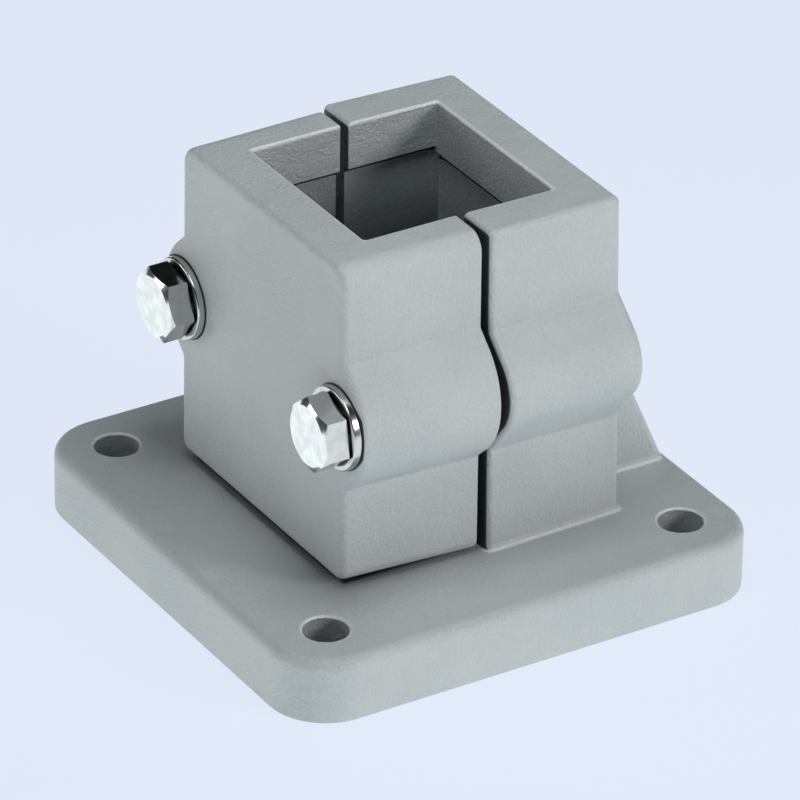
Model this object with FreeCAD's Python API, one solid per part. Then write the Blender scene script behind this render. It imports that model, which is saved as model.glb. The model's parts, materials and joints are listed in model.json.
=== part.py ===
import FreeCAD, Part
import math
import os

# Tube clamp base flange for a square tube: a cast base plate with one half of a clamp block on
# it, a loose clamp jaw that closes the block, and two hexagon bolts with washers and nuts.
# Frame: millimetres, +Z up along the tube, origin on the underside of the plate at the tube's
# axis. The bolts run along X, their heads are on the -X side, and left is +Y seen from there.

Vector = FreeCAD.Vector

# Tube and bore
TUBE_SIDE = 40.0              # square tube that the block holds, and the bore's own width
BORE_CORNER_RADIUS = 0.8      # inner corners of the two gripping lands
LAND_HEIGHT = 9.5             # height of the gripping land at each end of the bore
REAR_LAND_HEIGHT = 10.8       # height of the upper land on the bore's rear wall
RELIEF_DEPTH = 1.5            # how far the bore stands back between the lands
RELIEF_CORNER_RADIUS = 3.0
RIM_RADIUS = 0.5              # rounding of the bore's top rim

# Base plate
PLATE_SIDE = 100.0
PLATE_THICKNESS = 12.7
PLATE_CORNER_RADIUS = 11.5
PLATE_EDGE_RADIUS = 2.1
HOLE_SPACING = 76.6
HOLE_DIAMETER = 8.6
HOLE_CHAMFER = 0.4

# Fixed half of the clamp block, cast in one with the plate
BLOCK_TOP = 78.8              # top of the block at its split, above the underside of the plate
SIDE_WALL = 9.5               # wall beside the bore at the block's top and split
BACK_WALL = 9.05              # wall behind the bore at the block's top
TOP_FALL = 0.7                # degrees that the top falls away from the split
SIDE_TAPER = 1.4              # degrees that each side narrows away from the split
SIDE_DRAFT = 0.5              # degrees that the side walls lean in
BACK_DRAFT = 1.2              # degrees that the back wall leans in
SPLIT_DRAFT = 0.4             # degrees that the fixed half's split face leans
BLOCK_EDGE_RADIUS = 1.2       # upright edges of the block
BLOCK_TOP_RADIUS = 1.3        # long upper edges of the block
FOOT_RADIUS = 1.4             # fillet where the block and the ribs stand on the plate
RIDGE_CREST_WALL = 9.5        # crest of the bolt ridge beyond the bolt's axis
RIDGE_RADIUS = 9.8
RIDGE_FLANK = 47.0            # degrees between the upper flank's normal and the side wall's
RIDGE_UNDER_FLANK = 38.5      # the same of the lower flank
RIDGE_BLEND = 1.0             # small radius where a ridge runs into its wall

# Ribs behind the fixed half
RIB_OUTSIDE = 17.2            # outer face of each rib from the middle plane
RIB_THICKNESS = 8.0
RIB_SLOPE = 66.0              # degrees of the rib's back above the plate
RIB_TOE_INSET = 2.0           # toe of the rib from the plate's edge
RIB_TOE_HEIGHT = 0.9          # toe of the rib above the plate
RIB_EDGE_RADIUS = 1.2

# Loose clamp jaw
SPLIT_GAP = 1.5               # gap between the halves at their top
JAW_FRONT_WALL = 9.6          # wall in front of the bore
JAW_SIDE_WALL_TOP = 9.2       # wall beside the bore at the split, at the jaw's top
JAW_SIDE_WALL_FOOT = 9.7
JAW_FLOOR_GAP = 0.6           # jaw's underside over the plate at the split
JAW_SIDE_TAPER = 1.1          # degrees that each side narrows towards the front
JAW_UNDER_TAPER = 2.4         # degrees that the underside rises towards the front
JAW_TOP_RADIUS = 3.6          # long upper edges of the jaw
JAW_FOOT_RADIUS = 2.4         # long lower edges of the jaw
JAW_FRONT_RADIUS = 1.5        # edges round the jaw's front face
JAW_SPLIT_RADIUS = 0.4        # edges of the jaw's split face
JAW_RIDGE_DROP = 0.3          # jaw's ridge under the bolt axis
JAW_RIDGE_CREST_WALL = 9.0
JAW_RIDGE_RADIUS = 14.5
JAW_RIDGE_SHRINK = 0.8        # how much smaller the ridge is at the front
JAW_RIDGE_FLANK = 47.0
JAW_RIDGE_UNDER_FLANK = 47.0

# Bolts, washers and nuts, eight millimetre thread
BOLT_SIDE_GAP = 7.9           # bolt axis from the bore's side wall
BOLT_HEIGHT = 47.0
BOLT_DIAMETER = 8.0
BOLT_LENGTH = 60.0
BOLT_TIP_CHAMFER = 1.0
BOLT_HOLE_DIAMETER = 9.0
HEAD_ACROSS_FLATS = 12.8
HEAD_HEIGHT = 5.2
HEAD_CHAMFER_ANGLE = 30.0
HEAD_TOP_DIAMETER = 11.7
BEARING_DIAMETER = 11.6
BEARING_HEIGHT = 0.4
HEAD_TURNS = {"left": -22.0, "right": -10.0}  # turn of each head about its axis, degrees
WASHER_DIAMETER = 16.0
WASHER_HOLE = 8.4
WASHER_THICKNESS = 1.6
WASHER_EDGE_RADIUS = 0.3
NUT_ACROSS_FLATS = 13.0
NUT_THICKNESS = 6.5
NUT_THREAD_CLEARANCE = 0.05
NUT_COUNTERSINK = 0.5
NUT_PLAY = 0.15               # play of the nut in its pocket, on each side
NUT_SEAT_GAP = 1.7            # floor of the nut pockets behind the bore's rear wall
JAW_HANG = 0.45               # how far the jaw's holes hang below the bolts' axes

# Worked out from the sizes above
HALF_BORE = TUBE_SIDE / 2
HALF_PLATE = PLATE_SIDE / 2
BURIED = 3.0                  # how deep the block and ribs reach into the plate before they fuse
OVERRUN = 1.0                 # how far a cutter reaches past what it cuts
TOUCH = 0.01                  # how near an edge lies to the face that it is looked for on
FIXED_SPLIT = SPLIT_GAP / 2
JAW_SPLIT = -SPLIT_GAP / 2
JAW_FRONT = -(HALF_BORE + JAW_FRONT_WALL)
BOLT_OFFSET = HALF_BORE + BOLT_SIDE_GAP
NUT_SEAT = HALF_BORE + NUT_SEAT_GAP
SIDES = {"left": 1.0, "right": -1.0}


def rounded_wire(corners, place):
    """Closed wire through corners (a, b, radius), each corner rounded; place maps (a, b) to 3-D."""
    count = len(corners)
    arcs = []
    for i in range(count):
        a, b, radius = corners[i]
        before = corners[i - 1]
        after = corners[(i + 1) % count]
        here = Vector(a, b, 0)
        back = (Vector(before[0], before[1], 0) - here).normalize()
        on = (Vector(after[0], after[1], 0) - here).normalize()
        half_angle = back.getAngle(on) / 2
        reach = radius / math.tan(half_angle)
        start = here + back * reach
        end = here + on * reach
        inward = (back + on).normalize() if radius > 0 else Vector(0, 0, 0)
        middle = here + inward * (radius / math.sin(half_angle) - radius)
        arcs.append((start, middle, end, radius))
    edges = []
    for i in range(count):
        start, middle, end, radius = arcs[i]
        if radius > 0:
            edges.append(Part.Arc(place(start), place(middle), place(end)).toShape())
        following = arcs[(i + 1) % count][0]
        if end.distanceToPoint(following) > TOUCH / 100:
            edges.append(Part.makeLine(place(end), place(following)))
    return Part.Wire(edges)


def in_yz(x):
    """Returns the map from profile coordinates to the plane at this x."""
    return lambda p: Vector(x, p.x, p.y)


def in_xy(z):
    """Returns the map from profile coordinates to the plane at this z."""
    return lambda p: Vector(p.x, p.y, z)


def in_xz(y):
    """Returns the map from profile coordinates to the plane at this y."""
    return lambda p: Vector(p.x, y, p.y)


def prism(wire, along):
    """Solid between a flat closed wire and its copy shifted by a vector."""
    return Part.Face(wire).extrude(along)


def rounded_square(side, radius, z, height):
    """Upright square prism centred on the tube's axis, with rounded upright edges."""
    h = side / 2
    corners = [(-h, -h, radius), (h, -h, radius), (h, h, radius), (-h, h, radius)]
    return prism(rounded_wire(corners, in_xy(z)), Vector(0, 0, height))


def cylinder_x(radius, x_start, x_end, y, z):
    """Round bar along X."""
    return Part.makeCylinder(radius, x_end - x_start, Vector(x_start, y, z), Vector(1, 0, 0))


def slope(angle):
    """Rise per unit of run for an angle in degrees."""
    return math.tan(math.radians(angle))


def edges_where(shape, test):
    """Edges of the shape whose middle point and bounding box pass the test."""
    found = []
    for edge in shape.Edges:
        low, high = edge.ParameterRange
        if test(edge.valueAt((low + high) / 2), edge.BoundBox):
            found.append(edge)
    return found


def at_rim(middle, box):
    """Whether an edge runs round the bore's upper mouth."""
    inside = abs(middle.x) < HALF_BORE + TOUCH and abs(middle.y) < HALF_BORE + TOUCH
    return inside and middle.z > BLOCK_TOP - LAND_HEIGHT / 2 and box.ZLength < LAND_HEIGHT / 2


def hexagon(across_flats, turn, x, y, z, length):
    """Hexagonal bar along X, one flat's normal turned up from the Y axis by the angle."""
    radius = across_flats / 2 / math.cos(math.pi / 6)
    points = []
    for i in range(7):
        angle = math.radians(turn + 30 + 60 * i)
        points.append(Vector(x, y + radius * math.cos(angle), z + radius * math.sin(angle)))
    return Part.Face(Part.makePolygon(points)).extrude(Vector(length, 0, 0))


def ridge_corners(wall, crest, flanks):
    """Corners (y, z, radius) where a ridge's flanks meet its wall and, between them, its crest.

    The wall is (y at the top, z of the top, lean): its y grows by the lean for each step down.
    The crest is (reach, z, radius) of its circle, and the flanks are their angles, lower first.
    A flank is the line that touches the crest's circle where the normal has the flank's angle.
    """
    wall_y, wall_z, lean = wall
    reach, crest_z, radius = crest
    centre = reach - radius
    corners = []
    for angle in (-flanks[0], flanks[1]):
        cos_f = math.cos(math.radians(angle))
        sin_f = math.sin(math.radians(angle))
        rest = radius - (wall_y + wall_z * lean - centre) * cos_f
        z = (crest_z * sin_f + rest) / (sin_f - lean * cos_f)
        corners.append((wall_y + (wall_z - z) * lean, z, RIDGE_BLEND))
    turn = math.radians(flanks[1] - flanks[0]) / 2
    out = radius / math.cos(math.radians(flanks[0] + flanks[1]) / 2)
    crest_corner = (centre + out * math.cos(turn), crest_z + out * math.sin(turn), radius)
    return [corners[0], crest_corner, corners[1]]


def mirrored(half):
    """Closed outline from its +Y half, listed from the bottom to the top."""
    return half + [(-y, z, r) for y, z, r in reversed(half)]


# Base flange

def side_reach(z):
    """Distance of the fixed half's side wall from the middle plane at its split."""
    return HALF_BORE + SIDE_WALL + (BLOCK_TOP - z) * slope(SIDE_DRAFT)


def back_reach(z):
    """Distance of the fixed half's back wall from the tube's axis at this height."""
    return HALF_BORE + BACK_WALL + (BLOCK_TOP - z) * slope(BACK_DRAFT)


def split_reach(z):
    """Distance of the fixed half's split face from the tube's axis at this height."""
    return FIXED_SPLIT + (BLOCK_TOP - z) * slope(SPLIT_DRAFT)


def make_plate():
    """Square plate with rounded corners and a rounded upper edge."""
    plate = rounded_square(PLATE_SIDE, PLATE_CORNER_RADIUS, 0, PLATE_THICKNESS)
    upper = edges_where(plate, lambda m, box: box.ZMin > PLATE_THICKNESS - TOUCH)
    return plate.makeFillet(PLATE_EDGE_RADIUS, upper)


def block_outline(depth):
    """Outline (y, z, radius) of the fixed half at this depth behind its split."""
    foot = PLATE_THICKNESS - BURIED
    narrower = depth * slope(SIDE_TAPER)
    top = BLOCK_TOP - depth * slope(TOP_FALL)
    top_y = side_reach(top) - narrower
    ridge = ridge_corners((top_y, top, slope(SIDE_DRAFT)),
                          (BOLT_OFFSET + RIDGE_CREST_WALL, BOLT_HEIGHT, RIDGE_RADIUS),
                          (RIDGE_UNDER_FLANK, RIDGE_FLANK))
    return mirrored([(side_reach(foot) - narrower, foot, 0.0)] + ridge + [(top_y, top, BLOCK_TOP_RADIUS)])


def make_fixed_block():
    """Fixed half as a tapering ridged block, cut to its leaning end faces, bored and rounded."""
    foot = PLATE_THICKNESS - BURIED
    split = rounded_wire(block_outline(0.0), in_yz(FIXED_SPLIT))
    back = rounded_wire(block_outline(HALF_PLATE - FIXED_SPLIT), in_yz(HALF_PLATE))
    block = Part.makeLoft([split, back], True, True)
    ends = [(split_reach(foot), foot, 0.0), (back_reach(foot), foot, 0.0),
            (back_reach(BLOCK_TOP), BLOCK_TOP, 0.0), (split_reach(BLOCK_TOP), BLOCK_TOP, 0.0)]
    block = block.common(prism(rounded_wire(ends, in_xz(-HALF_PLATE)), Vector(0, PLATE_SIDE, 0)))
    block = block.cut(rounded_square(TUBE_SIDE, BORE_CORNER_RADIUS, 0, BLOCK_TOP + OVERRUN))

    def at_split(middle):
        return abs(middle.x - split_reach(middle.z)) < TOUCH

    def is_end_edge(middle, box):
        outside = at_split(middle) and abs(middle.y) > HALF_BORE + TOUCH
        at_back = abs(middle.x - back_reach(middle.z)) < TOUCH
        return (outside or at_back) and box.ZMax > foot + TOUCH

    def is_bore_edge(middle, box):
        beside_split = at_split(middle) and box.ZLength > LAND_HEIGHT
        return at_rim(middle, box) or (beside_split and abs(middle.y) < HALF_BORE + TOUCH)

    block = block.makeFillet(BLOCK_EDGE_RADIUS, edges_where(block, is_end_edge))
    return block.makeFillet(RIM_RADIUS, edges_where(block, is_bore_edge))


def make_rib(side):
    """Triangular rib from the back wall down to the plate's edge, its back edges rounded."""
    foot = PLATE_THICKNESS - BURIED
    toe_x = HALF_PLATE - RIB_TOE_INSET
    toe_z = PLATE_THICKNESS + RIB_TOE_HEIGHT
    root_x = back_reach(BLOCK_TOP) - BURIED
    root_z = toe_z + (toe_x - root_x) * slope(RIB_SLOPE)
    outline = [(root_x, foot, 0.0), (toe_x, foot, 0.0), (toe_x, toe_z, 0.0), (root_x, root_z, 0.0)]
    start = RIB_OUTSIDE - RIB_THICKNESS if side > 0 else -RIB_OUTSIDE
    rib = prism(rounded_wire(outline, in_xz(start)), Vector(0, RIB_THICKNESS, 0))

    def is_back_edge(middle, box):
        on_side = box.YLength < TOUCH
        return on_side and middle.z > toe_z + TOUCH and middle.x > root_x + TOUCH

    return rib.makeFillet(RIB_EDGE_RADIUS, edges_where(rib, is_back_edge))


def hole_places():
    """Centres (x, y) of the plate's four bolt holes."""
    h = HOLE_SPACING / 2
    return [(-h, -h), (h, -h), (h, h), (-h, h)]


def hole_cutter(x, y):
    """Bolt hole of the plate with a small chamfer at both mouths."""
    radius = HOLE_DIAMETER / 2
    reach = HOLE_CHAMFER + OVERRUN
    length = PLATE_THICKNESS + 2 * OVERRUN
    cutter = Part.makeCylinder(radius, length, Vector(x, y, -OVERRUN))
    lower = Part.makeCone(radius + reach, radius, reach, Vector(x, y, -OVERRUN))
    upper = Part.makeCone(radius, radius + reach, reach, Vector(x, y, PLATE_THICKNESS - HOLE_CHAMFER))
    return cutter.fuse([lower, upper])


def relief_cutter(low):
    """Wider middle stretch of the bore, from this height up to the top land."""
    high = BLOCK_TOP - LAND_HEIGHT
    rear = BLOCK_TOP - REAR_LAND_HEIGHT
    wide = rounded_square(TUBE_SIDE + 2 * RELIEF_DEPTH, RELIEF_CORNER_RADIUS, low, high - low)
    rear_land = Part.makeBox(2 * RELIEF_DEPTH, 2 * TUBE_SIDE, high - rear + OVERRUN,
                             Vector(HALF_BORE, -TUBE_SIDE, rear))
    return wide.cut(rear_land)


def make_base_flange():
    """Plate, fixed half and ribs as one casting with its fillets, holes, bore and nut pockets."""
    body = make_plate().fuse([make_fixed_block(), make_rib(1.0), make_rib(-1.0)]).removeSplitter()

    def is_foot_edge(middle, box):
        on_plate = box.ZLength < TOUCH and abs(middle.z - PLATE_THICKNESS) < TOUCH
        beside_block = abs(middle.y) < side_reach(PLATE_THICKNESS) + TOUCH
        return on_plate and beside_block and abs(middle.x) < HALF_PLATE - PLATE_EDGE_RADIUS - TOUCH

    body = body.makeFillet(FOOT_RADIUS, edges_where(body, is_foot_edge))
    cutters = [rounded_square(TUBE_SIDE, BORE_CORNER_RADIUS, -OVERRUN, BLOCK_TOP),
               relief_cutter(PLATE_THICKNESS + LAND_HEIGHT)]
    cutters += [hole_cutter(x, y) for x, y in hole_places()]
    for side in SIDES.values():
        y = side * BOLT_OFFSET
        cutters.append(cylinder_x(BOLT_HOLE_DIAMETER / 2, 0, HALF_PLATE, y, BOLT_HEIGHT))
        pocket = NUT_ACROSS_FLATS + 2 * NUT_PLAY
        cutters.append(hexagon(pocket, 0, NUT_SEAT, y, BOLT_HEIGHT, HALF_PLATE))
    for cutter in cutters:
        body = body.cut(cutter)
    return body


# Clamp jaw

def jaw_outline(share):
    """Outline (y, z, radius) of the jaw, from its split face at 0 to its front face at 1."""
    depth = (JAW_SPLIT - JAW_FRONT) * share
    under = PLATE_THICKNESS + JAW_FLOOR_GAP + depth * slope(JAW_UNDER_TAPER)
    narrower = depth * slope(JAW_SIDE_TAPER)
    top_y = HALF_BORE + JAW_SIDE_WALL_TOP - narrower
    foot_y = HALF_BORE + JAW_SIDE_WALL_FOOT - narrower
    wall = (top_y, BLOCK_TOP, (foot_y - top_y) / (BLOCK_TOP - under))
    shrink = JAW_RIDGE_SHRINK * share
    crest = (BOLT_OFFSET + JAW_RIDGE_CREST_WALL - shrink, BOLT_HEIGHT - JAW_RIDGE_DROP,
             JAW_RIDGE_RADIUS - shrink)
    ridge = ridge_corners(wall, crest, (JAW_RIDGE_UNDER_FLANK, JAW_RIDGE_FLANK))
    return mirrored([(foot_y, under, JAW_FOOT_RADIUS)] + ridge + [(top_y, BLOCK_TOP, JAW_TOP_RADIUS)])


def make_clamp_jaw():
    """Loose jaw: tapered ridged block with its half of the bore and two bolt holes."""
    split = rounded_wire(jaw_outline(0.0), in_yz(JAW_SPLIT))
    front = rounded_wire(jaw_outline(1.0), in_yz(JAW_FRONT))
    jaw = Part.makeLoft([front, split], True, True)
    front_edges = edges_where(jaw, lambda m, box: box.XMax < JAW_FRONT + TOUCH)
    jaw = jaw.makeFillet(JAW_FRONT_RADIUS, front_edges)
    jaw = jaw.cut(rounded_square(TUBE_SIDE, BORE_CORNER_RADIUS, 0, BLOCK_TOP + OVERRUN))
    rim = edges_where(jaw, lambda m, box: at_rim(m, box) and m.x < JAW_SPLIT - TOUCH)
    jaw = jaw.makeFillet(RIM_RADIUS, rim)
    split_edges = edges_where(jaw, lambda m, box: box.XMin > JAW_SPLIT - TOUCH)
    jaw = jaw.makeFillet(JAW_SPLIT_RADIUS, split_edges)
    jaw = jaw.cut(relief_cutter(PLATE_THICKNESS + JAW_FLOOR_GAP + LAND_HEIGHT))
    for side in SIDES.values():
        hole = cylinder_x(BOLT_HOLE_DIAMETER / 2, JAW_FRONT - OVERRUN, JAW_SPLIT + OVERRUN,
                          side * BOLT_OFFSET, BOLT_HEIGHT - JAW_HANG)
        jaw = jaw.cut(hole)
    return jaw


# Bolts, washers and nuts

def chamfered_hexagon(across_flats, turn, x, y, thickness, flat_diameter, both_ends):
    """Hexagonal bar along X whose corners are turned off at its -X end, or at both ends."""
    body = hexagon(across_flats, turn, x, y, BOLT_HEIGHT, thickness)
    corner = across_flats / 2 / math.cos(math.pi / 6) + OVERRUN
    flat = flat_diameter / 2
    run = (corner - flat) * slope(HEAD_CHAMFER_ANGLE)
    points = [(0, 0), (0, flat), (run, corner)]
    points += [(thickness - run, corner), (thickness, flat)] if both_ends else [(thickness, corner)]
    points += [(thickness, 0), (0, 0)]
    outline = Part.makePolygon([Vector(x + along, y, BOLT_HEIGHT + out) for along, out in points])
    turned = Part.Face(outline).revolve(Vector(x, y, BOLT_HEIGHT), Vector(1, 0, 0), 360)
    return body.common(turned)


def turned_x(points, y):
    """Solid of revolution about the bolt's axis, from its outline (x, radius)."""
    closed = points + [points[0]]
    outline = Part.makePolygon([Vector(x, y, BOLT_HEIGHT + r) for x, r in closed])
    return Part.Face(outline).revolve(Vector(0, y, BOLT_HEIGHT), Vector(1, 0, 0), 360)


def make_bolt(side, turn):
    """Hexagon bolt with a turned bearing face under its head and a chamfered tip."""
    y = side * BOLT_OFFSET
    seat = JAW_FRONT - WASHER_THICKNESS
    head = chamfered_hexagon(HEAD_ACROSS_FLATS, turn, seat - HEAD_HEIGHT, y,
                             HEAD_HEIGHT - BEARING_HEIGHT, HEAD_TOP_DIAMETER, False)
    radius = BOLT_DIAMETER / 2
    tip = seat + BOLT_LENGTH
    inner = seat - BEARING_HEIGHT - OVERRUN
    shank = turned_x([(inner, 0), (inner, BEARING_DIAMETER / 2), (seat, BEARING_DIAMETER / 2),
                      (seat, radius), (tip - BOLT_TIP_CHAMFER, radius),
                      (tip, radius - BOLT_TIP_CHAMFER), (tip, 0)], y)
    return head.fuse(shank).removeSplitter()


def make_washer(side):
    """Flat washer with softened outer edges."""
    y = side * BOLT_OFFSET
    x = JAW_FRONT - WASHER_THICKNESS
    ring = cylinder_x(WASHER_DIAMETER / 2, x, JAW_FRONT, y, BOLT_HEIGHT)
    rim = edges_where(ring, lambda m, box: box.ZLength > WASHER_DIAMETER - TOUCH and box.XLength < TOUCH)
    ring = ring.makeFillet(WASHER_EDGE_RADIUS, rim)
    return ring.cut(cylinder_x(WASHER_HOLE / 2, x - OVERRUN, JAW_FRONT + OVERRUN, y, BOLT_HEIGHT))


def make_nut(side):
    """Hexagon nut seated on the floor of its pocket, with a countersunk bore."""
    y = side * BOLT_OFFSET
    body = chamfered_hexagon(NUT_ACROSS_FLATS, 0, NUT_SEAT, y, NUT_THICKNESS, HEAD_TOP_DIAMETER, True)
    bore = BOLT_DIAMETER / 2 + NUT_THREAD_CLEARANCE
    sink = bore + NUT_COUNTERSINK
    end = NUT_SEAT + NUT_THICKNESS
    cutter = turned_x([(NUT_SEAT - OVERRUN, 0), (NUT_SEAT - OVERRUN, sink), (NUT_SEAT, sink),
                       (NUT_SEAT + NUT_COUNTERSINK, bore), (end - NUT_COUNTERSINK, bore),
                       (end, sink), (end + OVERRUN, sink), (end + OVERRUN, 0)], y)
    return body.cut(cutter)


def main():
    """Builds every piece and writes it to its own file."""
    os.makedirs("parts", exist_ok=True)
    pieces = {"base_flange": make_base_flange(), "clamp_jaw": make_clamp_jaw()}
    for name, side in SIDES.items():
        pieces["clamp_bolt_" + name] = make_bolt(side, HEAD_TURNS[name])
        pieces["bolt_washer_" + name] = make_washer(side)
        pieces["clamp_nut_" + name] = make_nut(side)
    for name, shape in pieces.items():
        print(f"{name}: {shape.ShapeType} valid {shape.isValid()} solids {len(shape.Solids)} "
              f"volume {shape.Volume / 1000:.3f} cm3")
        shape.exportStep(os.path.join("parts", name + ".step"))


main()
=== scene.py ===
import json
import logging
import math
from dataclasses import dataclass
from enum import Enum

import bpy
import numpy as np
from mathutils import Matrix, Vector


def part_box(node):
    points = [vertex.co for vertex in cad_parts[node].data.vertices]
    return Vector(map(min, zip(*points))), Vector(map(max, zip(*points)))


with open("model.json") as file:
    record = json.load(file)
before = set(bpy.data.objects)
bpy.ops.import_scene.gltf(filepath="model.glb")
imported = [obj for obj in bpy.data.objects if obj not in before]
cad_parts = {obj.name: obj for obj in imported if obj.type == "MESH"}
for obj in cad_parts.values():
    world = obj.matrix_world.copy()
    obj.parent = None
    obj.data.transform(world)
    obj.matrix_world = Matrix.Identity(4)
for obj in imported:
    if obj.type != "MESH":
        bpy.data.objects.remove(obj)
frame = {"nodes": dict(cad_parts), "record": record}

# Looks of a tube clamp base flange: two tumbled aluminium castings, drawn together by bright
# hexagon bolts. Lengths are in metres, in the frame of the solids: +Z up along the tube, the
# bolt heads on the -X side.

LOG = logging.getLogger("scene")
FRAME_PIXELS = 800
SENSOR_WIDTH = 36.0
MILLIMETRES = 1000.0

# Sockets of a colour mix, by number because their names come more than once
MIX_FACTOR = 0
MIX_FIRST = 6
MIX_SECOND = 7
MIX_RESULT = 2

Colour = tuple[float, float, float]
Place = tuple[float, float, float]
Step = tuple[float, float]
Socket = bpy.types.NodeSocket
Value = Socket | Colour | float


def srgb(red: float, green: float, blue: float) -> Colour:
    """Turns a display colour of 0 to 255 into a linear one.

    Args:
        red: Red as a screen shows it.
        green: Green as a screen shows it.
        blue: Blue as a screen shows it.

    Returns:
        The linear colour, ((c / 255 + 0.055) / 1.055) to the power 2.4 for each channel.
    """
    values = (np.array([red, green, blue]) / 255.0 + 0.055) / 1.055
    linear = values ** 2.4
    return (float(linear[0]), float(linear[1]), float(linear[2]))


class Direction(Enum):
    """Axes that a hole or a bolt can run along, by the index of that coordinate."""

    ALONG_X = 0
    ALONG_Z = 2


class Measured(Enum):
    """What a material can measure on the surface, by the name of the output that tells it."""

    PLACE = "Object"
    FACING = "Normal"


@dataclass(frozen=True)
class Noise:
    """A noise texture, by its cells per metre, its layers of detail and their roughness."""

    cells: float
    detail: float
    rough: float = 0.5


@dataclass(frozen=True)
class Wiring:
    """Makes and joins the nodes of one material or group."""

    tree: bpy.types.NodeTree

    def add(self, kind: str, **settings: object) -> bpy.types.Node:
        """Adds a node.

        Args:
            kind: Blender's name of the node type.
            **settings: Properties to set on it.

        Returns:
            The new node.
        """
        node = self.tree.nodes.new(kind)
        for name, value in settings.items():
            setattr(node, name, value)
        return node

    def feed(self, socket: Socket, value: Value) -> None:
        """Links an output to the socket, or sets the socket to a plain value.

        Args:
            socket: The input to fill.
            value: An output socket, or a number, colour or vector.
        """
        if isinstance(value, Socket):
            self.tree.links.new(value, socket)
        else:
            socket.default_value = value

    def maths(self, operation: str, *values: Value) -> Socket:
        """Calculates with a Math node.

        Args:
            operation: Name of the operation.
            *values: Its one, two or three numbers or sockets.

        Returns:
            The result.
        """
        node = self.add("ShaderNodeMath", operation=operation)
        for socket, value in zip(node.inputs, values):
            self.feed(socket, value)
        return node.outputs[0]

    def product(self, first: Value, *others: Value) -> Value:
        """Multiplies two or more values.

        Args:
            first: The first number or socket.
            *others: The values to multiply it by.

        Returns:
            The product.
        """
        for other in others:
            first = self.maths("MULTIPLY", first, other)
        return first

    def inverse(self, mask: Value) -> Socket:
        """Returns 1 - mask."""
        return self.maths("SUBTRACT", 1.0, mask)

    def over(self, value: Value, limit: Value) -> Socket:
        """Returns 1 where the value is over the limit, and 0 elsewhere."""
        return self.maths("GREATER_THAN", value, limit)

    def under(self, value: Value, limit: Value) -> Socket:
        """Returns 1 where the value is under the limit, and 0 elsewhere."""
        return self.maths("LESS_THAN", value, limit)

    def smooth(self, value: Value, low: Value, high: Value) -> Socket:
        """Makes a smooth step.

        Args:
            value: What is measured.
            low: Value that gives 0.
            high: Value that gives 1.

        Returns:
            The step, from 0 up to 1.
        """
        node = self.add("ShaderNodeMapRange", interpolation_type="SMOOTHSTEP")
        self.feed(node.inputs["Value"], value)
        self.feed(node.inputs["From Min"], low)
        self.feed(node.inputs["From Max"], high)
        return node.outputs["Result"]

    def blend(self, factor: Value, first: Value, second: Value) -> Socket:
        """Mixes two colours.

        Args:
            factor: Share of the second colour.
            first: Colour or socket at factor 0.
            second: Colour or socket at factor 1.

        Returns:
            The mixed colour.
        """
        node = self.add("ShaderNodeMix", data_type="RGBA")
        self.feed(node.inputs[MIX_FACTOR], factor)
        for index, value in ((MIX_FIRST, first), (MIX_SECOND, second)):
            self.feed(node.inputs[index], (*value, 1.0) if isinstance(value, tuple) else value)
        return node.outputs[MIX_RESULT]

    def measure(self, measured: Measured) -> Socket:
        """Returns a vector of the surface, in the object's own coordinates."""
        return self.add("ShaderNodeTexCoord").outputs[measured.value]

    def axes(self, measured: Measured = Measured.PLACE) -> tuple[Socket, ...]:
        """Splits a vector of the surface.

        Args:
            measured: Which vector.

        Returns:
            Its x, y and z.
        """
        node = self.add("ShaderNodeSeparateXYZ")
        self.feed(node.inputs[0], self.measure(measured))
        return tuple(node.outputs)

    def noise(self, noise: Noise) -> Socket:
        """Adds a noise texture.

        Args:
            noise: Its sizes.

        Returns:
            The noise, from 0 to 1.
        """
        node = self.add("ShaderNodeTexNoise")
        self.feed(node.inputs["Vector"], self.measure(Measured.PLACE))
        node.inputs["Scale"].default_value = noise.cells
        node.inputs["Detail"].default_value = noise.detail
        node.inputs["Roughness"].default_value = noise.rough
        return node.outputs["Fac"]

    def bump(self, height: Socket, distance: float) -> Socket:
        """Turns a height into a bumped normal.

        Args:
            height: The height, from 0 to 1.
            distance: What a height of 1 stands for.

        Returns:
            The normal.
        """
        node = self.add("ShaderNodeBump")
        node.inputs["Distance"].default_value = distance
        self.feed(node.inputs["Height"], height)
        return node.outputs["Normal"]


def new_material(name: str) -> tuple[bpy.types.Material, bpy.types.Node, Wiring]:
    """Starts a material.

    Args:
        name: Name of the material.

    Returns:
        The material, its shader and the wiring helper for it.
    """
    material = bpy.data.materials.new(name)
    material.use_nodes = True
    shader = material.node_tree.nodes["Principled BSDF"]
    return material, shader, Wiring(material.node_tree)


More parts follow.
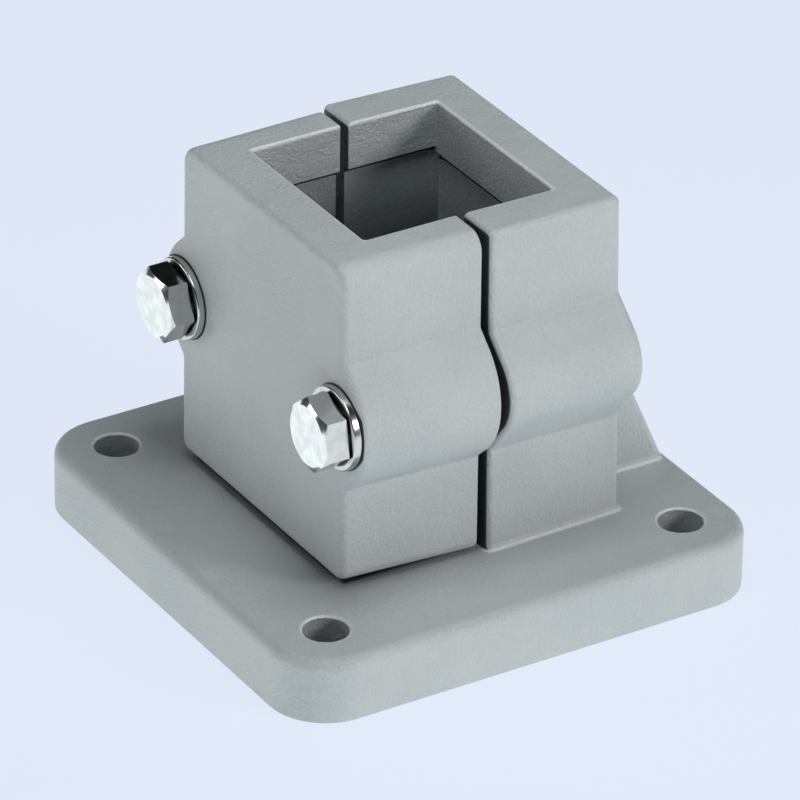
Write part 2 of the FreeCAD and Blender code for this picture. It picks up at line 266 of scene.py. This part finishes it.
class NodeGroup:
    """Shader node group with named numbers, for an effect that more than one material has."""

    name: str
    inputs: dict[str, float]
    outputs: tuple[str, ...]

    def __init__(self) -> None:
        """Makes the group's sockets, its inputs with their usual values, and wires its inside."""
        self.tree = bpy.data.node_groups.new(self.name, "ShaderNodeTree")
        faces = self.tree.interface
        for label, value in self.inputs.items():
            socket = faces.new_socket(label, in_out="INPUT", socket_type="NodeSocketFloat")
            socket.default_value = value
        for label in self.outputs:
            faces.new_socket(label, in_out="OUTPUT", socket_type="NodeSocketFloat")
        wires = Wiring(self.tree)
        given = dict(wires.add("NodeGroupInput").outputs.items())
        outlet = wires.add("NodeGroupOutput")
        for label, value in self.results(wires, given).items():
            wires.feed(outlet.inputs[label], value)

    def results(self, wires: Wiring, given: dict[str, Socket]) -> dict[str, Value]:
        """Wires the inside of the group, which each kind of group does in its own way.

        Args:
            wires: The group's wiring.
            given: The group's inputs by name.

        Returns:
            What the group puts out, by name.
        """
        raise NotImplementedError

    def place(self, wires: Wiring, settings: dict[str, float]) -> dict[str, Socket]:
        """Puts the group into a material.

        Args:
            wires: The material's wiring.
            settings: Inputs that don't keep their usual value, by name.

        Returns:
            The group's outputs by name.
        """
        node = wires.add("ShaderNodeGroup", node_tree=self.tree)
        for label, value in settings.items():
            node.inputs[label].default_value = value
        return dict(node.outputs.items())


class CastSkin(NodeGroup):
    """Tumbled skin of a casting: fine grains, soft swells, cloudy patches and specks."""

    name = "cast_skin"
    inputs = {"Grain": 0.5, "Swell": 0.5}
    outputs = ("Height", "Cloud", "Speck")
    fine = Noise(1500.0, 3.0, 0.62)
    coarse = Noise(260.0, 2.0)
    cloud = Noise(55.0, 3.0, 0.55)
    cloud_step: Step = (0.3, 0.7)
    speck = Noise(2600.0, 2.0)
    speck_step: Step = (0.35, 0.7)

    def results(self, wires: Wiring, given: dict[str, Socket]) -> dict[str, Value]:
        """Wires the inside of the group.

        Height is Grain * fine noise + Swell * coarse noise, in units of the bump's distance.
        Cloud is a wide noise and Speck a fine one, both from 0 to 1.

        Args:
            wires: The group's wiring.
            given: The group's inputs by name.

        Returns:
            What the group puts out, by name.
        """
        grain = wires.product(wires.noise(self.fine), given["Grain"])
        swell = wires.product(wires.noise(self.coarse), given["Swell"])
        return {
            "Height": wires.maths("ADD", grain, swell),
            "Cloud": wires.smooth(wires.noise(self.cloud), *self.cloud_step),
            "Speck": wires.smooth(wires.noise(self.speck), *self.speck_step),
        }


class RoundMask(NodeGroup):
    """Distance from the nearest of mirrored round holes or bolts."""

    name = "round_mask"
    inputs = {"Along": 0.0, "First": 0.0, "Second": 0.0}
    outputs = ("Radius",)

    def results(self, wires: Wiring, given: dict[str, Socket]) -> dict[str, Value]:
        """Wires the inside of the group.

        Radius is the square root of (|y| - First)^2 + (other - Second)^2, where other is z for
        holes along X and |x| for upright ones, so that one centre stands for all its mirror
        images.

        Args:
            wires: The group's wiring.
            given: The group's inputs by name.

        Returns:
            What the group puts out, by name.
        """
        x, y, z = wires.axes()
        halfway = (Direction.ALONG_X.value + Direction.ALONG_Z.value) / 2.0
        upright = wires.over(given["Along"], halfway)
        other = wires.maths("ADD", wires.product(z, wires.inverse(upright)),
                            wires.product(wires.maths("ABSOLUTE", x), upright))
        one = wires.maths("SUBTRACT", wires.maths("ABSOLUTE", y), given["First"])
        two = wires.maths("SUBTRACT", other, given["Second"])
        squares = wires.maths("ADD", wires.product(one, one), wires.product(two, two))
        return {"Radius": wires.maths("SQRT", squares)}

    def radius(self, wires: Wiring, along: Direction, first: float, second: float) -> Socket:
        """Puts the group into a material.

        Args:
            wires: The material's wiring.
            along: Axis of the holes.
            first: Distance of their centres from the middle plane, along Y.
            second: Height of their centres, or for upright holes their distance along X.

        Returns:
            The distance from the nearest centre.
        """
        settings = {"Along": float(along.value), "First": first, "Second": second}
        return self.place(wires, settings)["Radius"]


class RecessMask(NodeGroup):
    """How far a surface lies inside the bore, on the rounding at its top or on a face of the split,
    where the castings get painted shade and painted highlight.
    """

    name = "recess_mask"
    inputs = {
        "Inside": 0.022,
        "Deep": 0.045,
        "Shallow": 0.074,
        "Rear Share": 0.4,
        "Face": 0.0008,
        "Edge": 0.00095,
        "Lean": 0.0,
        "Top": 0.0788,
        "Floor": 0.0131,
        "Land": 0.0693,
        "Drop": 0.0013,
        "Shadow": 0.0013,
        "Rear": 0.0019,
        "Wall": 0.0209,
        "Rim Edge": 0.0205,
        "Rim Foot": 0.0781,
    }
    outputs = ("Bore", "Split", "Step", "Rim")

    def results(self, wires: Wiring, given: dict[str, Socket]) -> dict[str, Value]:
        """Wires the inside of the group.

        Bore is 1 where max(|x|, |y|) is under Inside, and falls to 0 from the height Deep up to
        the height Shallow, with Rear Share of it on the rear wall. Split is 1 where
        |x| - Lean * (Top - z) is under Face and 0 beyond Edge, on surfaces over Floor. Step is 1
        on the relief's walls, which are those beyond Wall, from the height Land down to Shadow
        under it; on the rear wall its upper end is Drop lower and its lower end Rear lower. Rim
        is 1 on the rounding at the top of the bore, over Rim Foot where max(|x|, |y|) is under
        Rim Edge.

        Args:
            wires: The group's wiring.
            given: The group's inputs by name.

        Returns:
            What the group puts out, by name.
        """
        x, y, z = wires.axes()
        across = wires.maths("ABSOLUTE", x)
        wide = wires.maths("MAXIMUM", across, wires.maths("ABSOLUTE", y))
        inside = wires.under(wide, given["Inside"])
        rear = wires.over(x, given["Wall"])
        less = wires.product(rear, wires.inverse(given["Rear Share"]))
        up = wires.smooth(z, given["Deep"], given["Shallow"])
        leaning = wires.product(wires.maths("SUBTRACT", given["Top"], z), given["Lean"])
        off = wires.smooth(wires.maths("SUBTRACT", across, leaning), given["Face"], given["Edge"])
        start = wires.maths("SUBTRACT", given["Land"], wires.product(rear, given["Drop"]))
        end = wires.maths("SUBTRACT", given["Land"], given["Shadow"])
        end = wires.maths("SUBTRACT", end, wires.product(rear, given["Rear"]))
        band = wires.product(wires.under(z, start), wires.over(z, end))
        relief = wires.product(inside, wires.over(wide, given["Wall"]))
        narrow = wires.under(wide, given["Rim Edge"])
        return {
            "Bore": wires.product(inside, wires.inverse(less), wires.inverse(up)),
            "Split": wires.product(wires.over(z, given["Floor"]), wires.inverse(off)),
            "Step": wires.product(band, relief),
            "Rim": wires.product(wires.over(z, given["Rim Foot"]), narrow),
        }


@dataclass(frozen=True, kw_only=True)
class CastFinish:
    """Matt tumbled aluminium, with painted shade in the bore, the split and where parts nearly
    touch, and painted highlights on edges.
    """

    name: str
    lean: float = 0.0
    tone: Colour = srgb(193, 199, 200)
    shade: Colour = srgb(186, 193, 195)
    bright: Colour = srgb(212, 217, 219)
    # Painted highlight on rounded edges: the top of the bore, round the screw holes and along the
    # block's foot.
    painted_highlight: Colour = srgb(224, 228, 229)
    # Painted shade: the bore's walls take this colour more and more towards the bottom, less on the
    # rear wall.
    bore: Colour = srgb(84, 90, 90)
    # Painted shade on the walls of the screw holes.
    painted_hole_shade: Colour = srgb(176, 182, 183)
    # Painted shade in the gap of the split, laid on the faces of the split.
    recess: Colour = srgb(70, 76, 77)
    # Painted shadow under the step of the land in the bore, and painted shade where parts nearly
    # touch.
    painted_deep_shade: Colour = srgb(44, 48, 50)
    speck_share: float = 0.3
    grain_share: float = 0.7
    swell_share: float = 0.6
    grain_depth: float = 0.00045
    roughness: float = 0.55
    roughness_swing: float = 0.1
    metallic: float = 0.15

    def painted_highlight_lines(self, wires: Wiring, rounds: RoundMask) -> Value:
        """Returns the mask of painted highlights round holes and along edges, here none."""
        return 0.0

    def hollows(self, wires: Wiring, rounds: RoundMask) -> Value:
        """Returns the mask of the walls of small holes, here none."""
        return 0.0

    def painted_contact_shade(self, wires: Wiring, rounds: RoundMask) -> Value:
        """Returns the mask of painted shade where another piece nearly touches, here none."""
        return 0.0

    def build(self, skin: CastSkin, rounds: RoundMask, recess: RecessMask) -> bpy.types.Material:
        """Makes the material, with each mask's colour laid over the ones before it.

        Args:
            skin: Group with the casting's grain.
            rounds: Group that measures the distance from the holes.
            recess: Group that finds the bore and the split.

        Returns:
            The material.
        """
        material, shader, wires = new_material(self.name)
        grain = skin.place(wires, {"Grain": self.grain_share, "Swell": self.swell_share})
        masks = recess.place(wires, {"Lean": self.lean})
        colour = wires.blend(grain["Cloud"], self.tone, self.shade)
        layers = (
            (wires.product(grain["Speck"], self.speck_share), self.bright),
            # From here on the layers are painted light: painted highlights on rounded edges, then
            # painted shade in the screw holes, the bore, the split, under the land's step and where
            # parts nearly touch.
            (self.painted_highlight_lines(wires, rounds), self.painted_highlight),
            (self.hollows(wires, rounds), self.painted_hole_shade),
            (masks["Rim"], self.painted_highlight),
            (masks["Bore"], self.bore),
            (masks["Split"], self.recess),
            (masks["Step"], self.painted_deep_shade),
            (self.painted_contact_shade(wires, rounds), self.painted_deep_shade),
        )
        for mask, layer in layers:
            colour = wires.blend(mask, colour, layer)
        swing = self.roughness_swing
        rough = wires.maths("MULTIPLY_ADD", grain["Speck"], swing, self.roughness - swing / 2.0)
        wires.feed(shader.inputs["Base Color"], colour)
        wires.feed(shader.inputs["Roughness"], rough)
        shader.inputs["Metallic"].default_value = self.metallic
        wires.feed(shader.inputs["Normal"], wires.bump(grain["Height"], self.grain_depth))
        return material


@dataclass(frozen=True, kw_only=True)
class FlangeFinish(CastFinish):
    """Casting of the base flange, with painted highlights round its screw holes and at the block's
    foot, and painted shade in the holes and under the jaw.
    """

    hole_centre: float
    hole_radius: float
    ring_width: float = 0.0006
    ring_solid: float = 0.6
    wall_margin: float = 0.00005
    plate_top: float = 0.0129
    jaw_front: Step = (-0.0286, -0.0268)
    jaw_side: Step = (0.0260, 0.0276)
    foot_line: Step = (0.0128, 0.01318)
    bore_reach: float = 0.023

    def from_hole(self, wires: Wiring, rounds: RoundMask) -> Socket:
        """Returns the distance from the axis of the nearest screw hole."""
        return rounds.radius(wires, Direction.ALONG_Z, self.hole_centre, self.hole_centre)

    def painted_highlight_lines(self, wires: Wiring, rounds: RoundMask) -> Value:
        """Finds where highlights are painted round the holes, and on the line at the foot of the
        block.

        Args:
            wires: The material's wiring.
            rounds: Group that measures the distance from the holes.

        Returns:
            1 from each hole's wall out to the ring's width, and 1 between the foot line's two
            heights outside the bore.
        """
        # Painted highlight round each screw hole.
        solid = self.hole_radius + self.ring_width * self.ring_solid
        out = wires.smooth(self.from_hole(wires, rounds), solid, self.hole_radius + self.ring_width)
        x, y, z = wires.axes()
        wide = wires.maths("MAXIMUM", wires.maths("ABSOLUTE", x), wires.maths("ABSOLUTE", y))
        # Painted highlight along the foot of the block.
        low, high = self.foot_line
        line = wires.product(wires.over(wide, self.bore_reach), wires.over(z, low),
                             wires.under(z, high))
        return wires.maths("MAXIMUM", line, wires.inverse(out))

    def hollows(self, wires: Wiring, rounds: RoundMask) -> Value:
        """Returns 1 on the walls of the screw holes, which get painted shade."""
        return wires.under(self.from_hole(wires, rounds), self.hole_radius + self.wall_margin)

    def painted_contact_shade(self, wires: Wiring, rounds: RoundMask) -> Value:
        """Finds the plate's top well under the jaw, where the jaw's shadow is painted.

        Args:
            wires: The material's wiring.
            rounds: Not used.

        Returns:
            1 well under the jaw and 0 outside its outline.
        """
        x, y, z = wires.axes()
        # Painted shadow of the jaw on the plate's top.
        behind = wires.smooth(x, *self.jaw_front)
        beside = wires.smooth(wires.maths("ABSOLUTE", y), *self.jaw_side)
        before = wires.product(wires.under(z, self.plate_top), wires.under(x, 0.0))
        return wires.product(behind, wires.inverse(beside), before)


@dataclass(frozen=True, kw_only=True)
class JawFinish(CastFinish):
    """Casting of the loose jaw, with painted shade on its underside and in a thin line round each
    washer.
    """

    bolt_centre: float
    bolt_height: float
    washer_edge: Step = (0.0081, 0.0084)
    front_end: float = -0.0291
    underside_top: float = 0.018
    facing_down: Step = (0.75, 0.95)

    def painted_contact_shade(self, wires: Wiring, rounds: RoundMask) -> Value:
        """Finds the places next to the washers and over the plate, where shade is painted.

        Args:
            wires: The material's wiring.
            rounds: Group that measures the distance from the bolts.

        Returns:
            The larger of the masks round the washers and on the jaw's underside.
        """
        radius = rounds.radius(wires, Direction.ALONG_X, self.bolt_centre, self.bolt_height)
        x, _, z = wires.axes()
        # Painted shade in a thin line round each washer, on the jaw's front.
        near = wires.inverse(wires.smooth(radius, *self.washer_edge))
        ring = wires.product(near, wires.under(x, self.front_end))
        # Painted shade on the faces of the jaw's underside that look down onto the plate.
        upward = wires.axes(Measured.FACING)[2]
        down = wires.smooth(wires.product(upward, -1.0), *self.facing_down)
        underside = wires.product(wires.under(z, self.underside_top), down)
        return wires.maths("MAXIMUM", ring, underside)


@dataclass(frozen=True, kw_only=True)
class SteelFinish:
    """Bright steel, as the nuts have it."""

    name: str
    bolt_centre: float
    bolt_height: float
    tone: Colour = srgb(208, 209, 208)
    shade: Colour = srgb(198, 199, 200)
    roughness: float = 0.2
    roughness_swing: float = 0.05
    cloud: Noise = Noise(420.0, 4.0)
    cloud_step: Step = (0.35, 0.65)
    fade: float = 0.0003

    def colour(self, wires: Wiring, cloud: Socket, radius: Socket) -> Socket:
        """Returns the colour of the steel, from its cloud."""
        return wires.blend(cloud, self.tone, self.shade)

    def shape_normal(self, wires: Wiring, shader: bpy.types.Node, radius: Socket) -> None:
        """Bumps the surface, here not at all."""

    def build(self, rounds: RoundMask) -> bpy.types.Material:
        """Makes the material.

        Args:
            rounds: Group that measures the distance from the bolts' axes.

        Returns:
            The material.
        """
        material, shader, wires = new_material(self.name)
        cloud = wires.smooth(wires.noise(self.cloud), *self.cloud_step)
        radius = rounds.radius(wires, Direction.ALONG_X, self.bolt_centre, self.bolt_height)
        rough = wires.maths("MULTIPLY_ADD", cloud, self.roughness_swing, self.roughness)
        wires.feed(shader.inputs["Base Color"], self.colour(wires, cloud, radius))
        wires.feed(shader.inputs["Roughness"], rough)
        shader.inputs["Metallic"].default_value = 1.0
        self.shape_normal(wires, shader, radius)
        return material


@dataclass(frozen=True, kw_only=True)
class BoltFinish(SteelFinish):
    """Steel of the bolts, with a painted highlight on the caps of their heads, and a thread on
    their shanks.
    """

    cap_end: float
    roughness: float = 0.12
    # Painted highlight: the end face of each head gets a lighter colour than the flats.
    cap_highlight_tone: Colour = srgb(240, 241, 240)
    cap_highlight_shade: Colour = srgb(222, 223, 224)
    thread_pitch: float = 0.00125
    thread_radius: float = 0.0041
    thread_depth: float = 0.0004

    def colour(self, wires: Wiring, cloud: Socket, radius: Socket) -> Socket:
        """Makes the colour, with a painted highlight on the end face of each head, before cap_end.

        Args:
            wires: The material's wiring.
            cloud: Mask of the cloudy patches.
            radius: Distance from the bolt's axis.

        Returns:
            The colour.
        """
        # Painted highlight on the end face of the head, before cap_end.
        behind = wires.smooth(wires.axes()[0], self.cap_end, self.cap_end + self.fade)
        cap_highlight = wires.blend(cloud, self.cap_highlight_tone, self.cap_highlight_shade)
        return wires.blend(wires.inverse(behind), super().colour(wires, cloud, radius), cap_highlight)

    def shape_normal(self, wires: Wiring, shader: bpy.types.Node, radius: Socket) -> None:
        """Bumps the shank with the wave sin(2 pi x / pitch), on surfaces inside its radius.

        Args:
            wires: The material's wiring.
            shader: The material's shader.
            radius: Distance from the bolt's axis.
        """
        turn = wires.product(wires.axes()[0], 2.0 * math.pi / self.thread_pitch)
        wave = wires.product(wires.maths("SINE", turn), wires.under(radius, self.thread_radius))
        wires.feed(shader.inputs["Normal"], wires.bump(wave, self.thread_depth))


@dataclass(frozen=True, kw_only=True)
class WasherFinish(SteelFinish):
    """Steel of the washers, with painted shade under the heads."""

    roughness: float = 0.16
    # Painted shade on the washer's face under the head.
    painted_head_shade: Colour = srgb(70, 72, 74)
    head_reach: float = 0.0068

    def colour(self, wires: Wiring, cloud: Socket, radius: Socket) -> Socket:
        """Makes the colour, with painted shade inside the head's reach.

        Args:
            wires: The material's wiring.
            cloud: Mask of the cloudy patches.
            radius: Distance from the bolt's axis.

        Returns:
            The colour.
        """
        # Painted shade on the washer's face inside the head's reach.
        outer = wires.smooth(radius, self.head_reach, self.head_reach + self.fade)
        return wires.blend(wires.inverse(outer), super().colour(wires, cloud, radius), self.painted_head_shade)


def give(piece: bpy.types.Object, material: bpy.types.Material) -> None:
    """Puts one material on a whole piece.

    Args:
        piece: The object to dress.
        material: Its new material.
    """
    piece.data.materials.clear()
    piece.data.materials.append(material)
    LOG.info("%s is dressed in %s", piece.name, material.name)


@dataclass
class Castings:
    """The base flange, whose plate has the mount's four screw holes, and the loose jaw."""

    hole_centre: float
    hole_radius: float
    bolt_centre: float
    bolt_height: float
    flange_lean: float = 0.00698

    def dress(self, nodes: dict[str, bpy.types.Object], rounds: RoundMask) -> None:
        """Gives both castings their finish.

        Args:
            nodes: The solids by name.
            rounds: Group that measures the distance from the holes.
        """
        skin = CastSkin()
        recess = RecessMask()
        flange = FlangeFinish(name="tumbled_flange", lean=self.flange_lean,
                              hole_centre=self.hole_centre, hole_radius=self.hole_radius)
        jaw = JawFinish(name="tumbled_jaw", bolt_centre=self.bolt_centre,
                        bolt_height=self.bolt_height)
        give(nodes["base_flange"], flange.build(skin, rounds, recess))
        give(nodes["clamp_jaw"], jaw.build(skin, rounds, recess))


@dataclass
class Fasteners:
    """Bolts, washers and nuts, all round the two mirrored axes of the bolts."""

    bolt_centre: float
    bolt_height: float
    cap_place: float
    cap_depth: float = 0.0002

    def dress(self, nodes: dict[str, bpy.types.Object], rounds: RoundMask) -> None:
        """Gives each fastener its finish.

        Args:
            nodes: The solids by name.
            rounds: Group that measures the distance from the bolts' axes.
        """
        axis = {"bolt_centre": self.bolt_centre, "bolt_height": self.bolt_height}
        cap_end = self.cap_place + self.cap_depth
        bolt = BoltFinish(name="bright_bolt", cap_end=cap_end, **axis).build(rounds)
        washer = WasherFinish(name="bright_washer", **axis).build(rounds)
        nut = SteelFinish(name="bright_nut", **axis).build(rounds)
        for side in ("left", "right"):
            give(nodes["clamp_bolt_" + side], bolt)
            give(nodes["bolt_washer_" + side], washer)
            give(nodes["clamp_nut_" + side], nut)


@dataclass(frozen=True)
class Panel:
    """A soft square light: its middle, the side of the square, watts and linear colour."""

    name: str
    place: Place
    side: float
    power: float
    colour: Colour

    def build(self, aim: Vector) -> None:
        """Adds the light, unseen by the camera and turned to a point.

        Args:
            aim: Where it looks.
        """
        data = bpy.data.lights.new(self.name, "AREA")
        data.size = self.side
        data.energy = self.power
        data.color = self.colour
        light = bpy.data.objects.new(self.name, data)
        light.visible_camera = False
        bpy.context.scene.collection.objects.link(light)
        turn = (Vector(self.place) - aim).to_track_quat("Z", "Y")
        light.matrix_world = Matrix.Translation(self.place) @ turn.to_matrix().to_4x4()


@dataclass(frozen=True)
class Floor:
    """Pale floor that rises behind the object and glows, least of all under the plate, where the
    glow is black as a painted shadow.
    """

    reach: float = 3.0
    rise: float = 1.2
    flat_share: float = 0.5
    line_count: int = 81
    colour: Colour = (0.12, 0.13, 0.15)
    black: Colour = (0.0, 0.0, 0.0)
    seen_glow: Colour = (0.69, 0.74, 0.86)
    near_glow: Colour = (0.96, 1.03, 1.04)
    far_glow: Colour = (0.048, 0.05, 0.053)
    glow_end: Step = (0.55, 1.1)
    half_plate: float = 0.05
    corner_radius: float = 0.0115
    cover_edge: Step = (0.8, 0.98)

    def build(self) -> None:
        """Makes the floor as one sheet that curves up at the back and sides.

        The sheet's height is rise * share^2 * (3 - 2 share), where share is
        (r / reach - flat share) / (1 - flat share) kept between 0 and 1, at the distance r from
        the object.
        """
        count = self.line_count
        line = np.linspace(-self.reach, self.reach, count)
        x, y = np.meshgrid(line, line)
        away = np.hypot(x, y) / self.reach
        share = np.clip((away - self.flat_share) / (1.0 - self.flat_share), 0.0, 1.0)
        z = self.rise * share * share * (3.0 - 2.0 * share)
        points = np.stack([x, y, z], axis=-1).reshape(-1, 3)
        rows = np.arange(count - 1)
        corner = (rows[:, None] * count + rows[None, :]).reshape(-1)
        faces = np.stack([corner, corner + 1, corner + count + 1, corner + count], axis=-1)
        mesh = bpy.data.meshes.new("pale_floor")
        mesh.from_pydata(points.tolist(), [], faces.tolist())
        mesh.shade_smooth()
        floor = bpy.data.objects.new("pale_floor", mesh)
        bpy.context.scene.collection.objects.link(floor)
        give(floor, self.paper())

    def paper(self) -> bpy.types.Material:
        """Makes the floor's material.

        Its glow lights the object from below, is strongest near it, and looks like the
        photograph's background to the camera.

        Returns:
            The material.
        """
        material, shader, wires = new_material("pale_paper")
        away = wires.add("ShaderNodeVectorMath", operation="LENGTH")
        wires.feed(away.inputs[0], wires.measure(Measured.PLACE))
        fade = wires.smooth(away.outputs["Value"], *self.glow_end)
        glow = wires.blend(fade, self.near_glow, self.far_glow)
        seen = wires.add("ShaderNodeLightPath").outputs["Is Camera Ray"]
        glow = wires.blend(seen, glow, self.seen_glow)
        # Painted shadow: the glow is black under the plate, for the camera as well.
        glow = wires.blend(self.outside_plate(wires), self.black, glow)
        wires.feed(shader.inputs["Emission Color"], glow)
        shader.inputs["Emission Strength"].default_value = 1.0
        shader.inputs["Base Color"].default_value = (*self.colour, 1.0)
        shader.inputs["Roughness"].default_value = 1.0
        shader.inputs["Specular IOR Level"].default_value = 0.0
        return material

    def outside_plate(self, wires: Wiring) -> Socket:
        """Finds the floor under the plate, where the glow is set to black as a painted shadow of
        the plate.

        The distance is the length of max(|p| - (half plate - corner radius), 0), which is the
        corner radius all round the plate's outline.

        Args:
            wires: The floor material's wiring.

        Returns:
            0 under the plate and 1 outside it.
        """
        inner = self.half_plate - self.corner_radius
        value = wires.measure(Measured.PLACE)
        steps = (("ABSOLUTE", None), ("SUBTRACT", (inner, inner, 0.0)), ("MAXIMUM", self.black),
                 ("LENGTH", None))
        for operation, other in steps:
            node = wires.add("ShaderNodeVectorMath", operation=operation)
            wires.feed(node.inputs[0], value)
            if other is not None:
                node.inputs[1].default_value = other
            value = node.outputs["Value" if operation == "LENGTH" else "Vector"]
        low, high = self.cover_edge
        return wires.smooth(value, self.corner_radius * low, self.corner_radius * high)


@dataclass(frozen=True)
class Camera:
    """The photograph's view: angles in degrees, and the focal length in pixels of its frame."""

    azimuth: float = -31.928
    elevation: float = 29.635
    roll: float = 0.922
    distance: float = 1.282652
    focal_pixels: float = 6965.726
    clip: Step = (0.05, 20.0)

    def build(self, aim: Vector) -> None:
        """Places the camera, which looks along the azimuth and elevation, turned by the roll.

        Args:
            aim: The point in the middle of the picture.
        """
        azimuth = math.radians(self.azimuth)
        elevation = math.radians(self.elevation)
        roll = math.radians(self.roll)
        level = math.cos(elevation)
        back = Vector((math.sin(azimuth) * level, -math.cos(azimuth) * level, math.sin(elevation)))
        right = Vector((0.0, 0.0, 1.0)).cross(back).normalized()
        up = back.cross(right)
        turned_right = right * math.cos(roll) + up * math.sin(roll)
        turned_up = up * math.cos(roll) - right * math.sin(roll)
        turn = Matrix((turned_right, turned_up, back)).transposed()
        data = bpy.data.cameras.new("photo_camera")
        data.sensor_width = SENSOR_WIDTH
        data.lens = self.focal_pixels * SENSOR_WIDTH / FRAME_PIXELS
        data.clip_start = self.clip[0]
        data.clip_end = self.clip[1]
        camera = bpy.data.objects.new("photo_camera", data)
        bpy.context.scene.collection.objects.link(camera)
        camera.matrix_world = Matrix.Translation(aim + back * self.distance) @ turn.to_4x4()
        bpy.context.scene.camera = camera


@dataclass(frozen=True)
class Studio:
    """Floor, even surrounding light, soft panels and camera."""

    aim: Place = (-0.003965, -0.00719, 0.035)
    world_colour: Colour = (0.92, 0.97, 1.0)
    world_strength: float = 0.01
    panels: tuple[Panel, ...] = (
        Panel("right_panel", (0.70, -1.00, 0.55), 0.4, 5.3, (1.08, 1.01, 1.0)),
        Panel("front_panel", (0.10, -1.40, 0.12), 0.5, 2.0, (1.08, 1.01, 1.0)),
        Panel("high_panel", (-1.10, -0.20, 0.80), 0.5, 1.1, (1.09, 0.99, 0.98)),
        Panel("side_panel", (-1.10, 0.70, 0.30), 0.5, 2.5, (1.09, 0.99, 0.98)),
        Panel("top_panel", (-0.03, -0.09, 0.42), 0.2, 0.54, (0.93, 1.0, 1.0)),
        Panel("near_panel", (0.03, 0.02, 0.30), 0.2, 0.115, (0.93, 1.0, 1.0)),
    )

    def build(self) -> None:
        """Builds the floor, the world's light, the panels and the camera."""
        Floor().build()
        world = bpy.data.worlds.new("studio_world")
        bpy.context.scene.world = world
        world.use_nodes = True
        glow = world.node_tree.nodes["Background"]
        glow.inputs["Color"].default_value = (*self.world_colour, 1.0)
        glow.inputs["Strength"].default_value = self.world_strength
        aim = Vector(self.aim)
        for panel in self.panels:
            panel.build(aim)
            LOG.info("%s gives %.3f W", panel.name, panel.power)
        Camera().build(aim)
        bpy.context.scene.view_settings.view_transform = "Standard"


def screw_holes() -> tuple[float, float]:
    """Reads the plate's screw holes from the record.

    Returns:
        Their distance from the middle planes, and their radius.
    """
    mount = next(m for m in frame["record"]["mounts"] if m["name"] == "plate_bolts")
    dims = mount["dims"]
    return dims["spacing_x_mm"] / 2.0 / MILLIMETRES, dims["hole_r_mm"] / MILLIMETRES


def bolt_axis() -> tuple[float, float]:
    """Returns how far the bolts' axes are from the middle plane, and their height."""
    low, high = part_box("bolt_washer_left")
    return (low[1] + high[1]) / 2.0, (low[2] + high[2]) / 2.0


def main() -> None:
    """Dresses the solids and builds the studio."""
    logging.basicConfig(level=logging.INFO, format="%(name)s: %(message)s")
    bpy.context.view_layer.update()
    nodes = frame["nodes"]
    rounds = RoundMask()
    Castings(*screw_holes(), *bolt_axis()).dress(nodes, rounds)
    Fasteners(*bolt_axis(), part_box("clamp_bolt_left")[0][0]).dress(nodes, rounds)
    Studio().build()


if __name__ == "__main__":
    main()
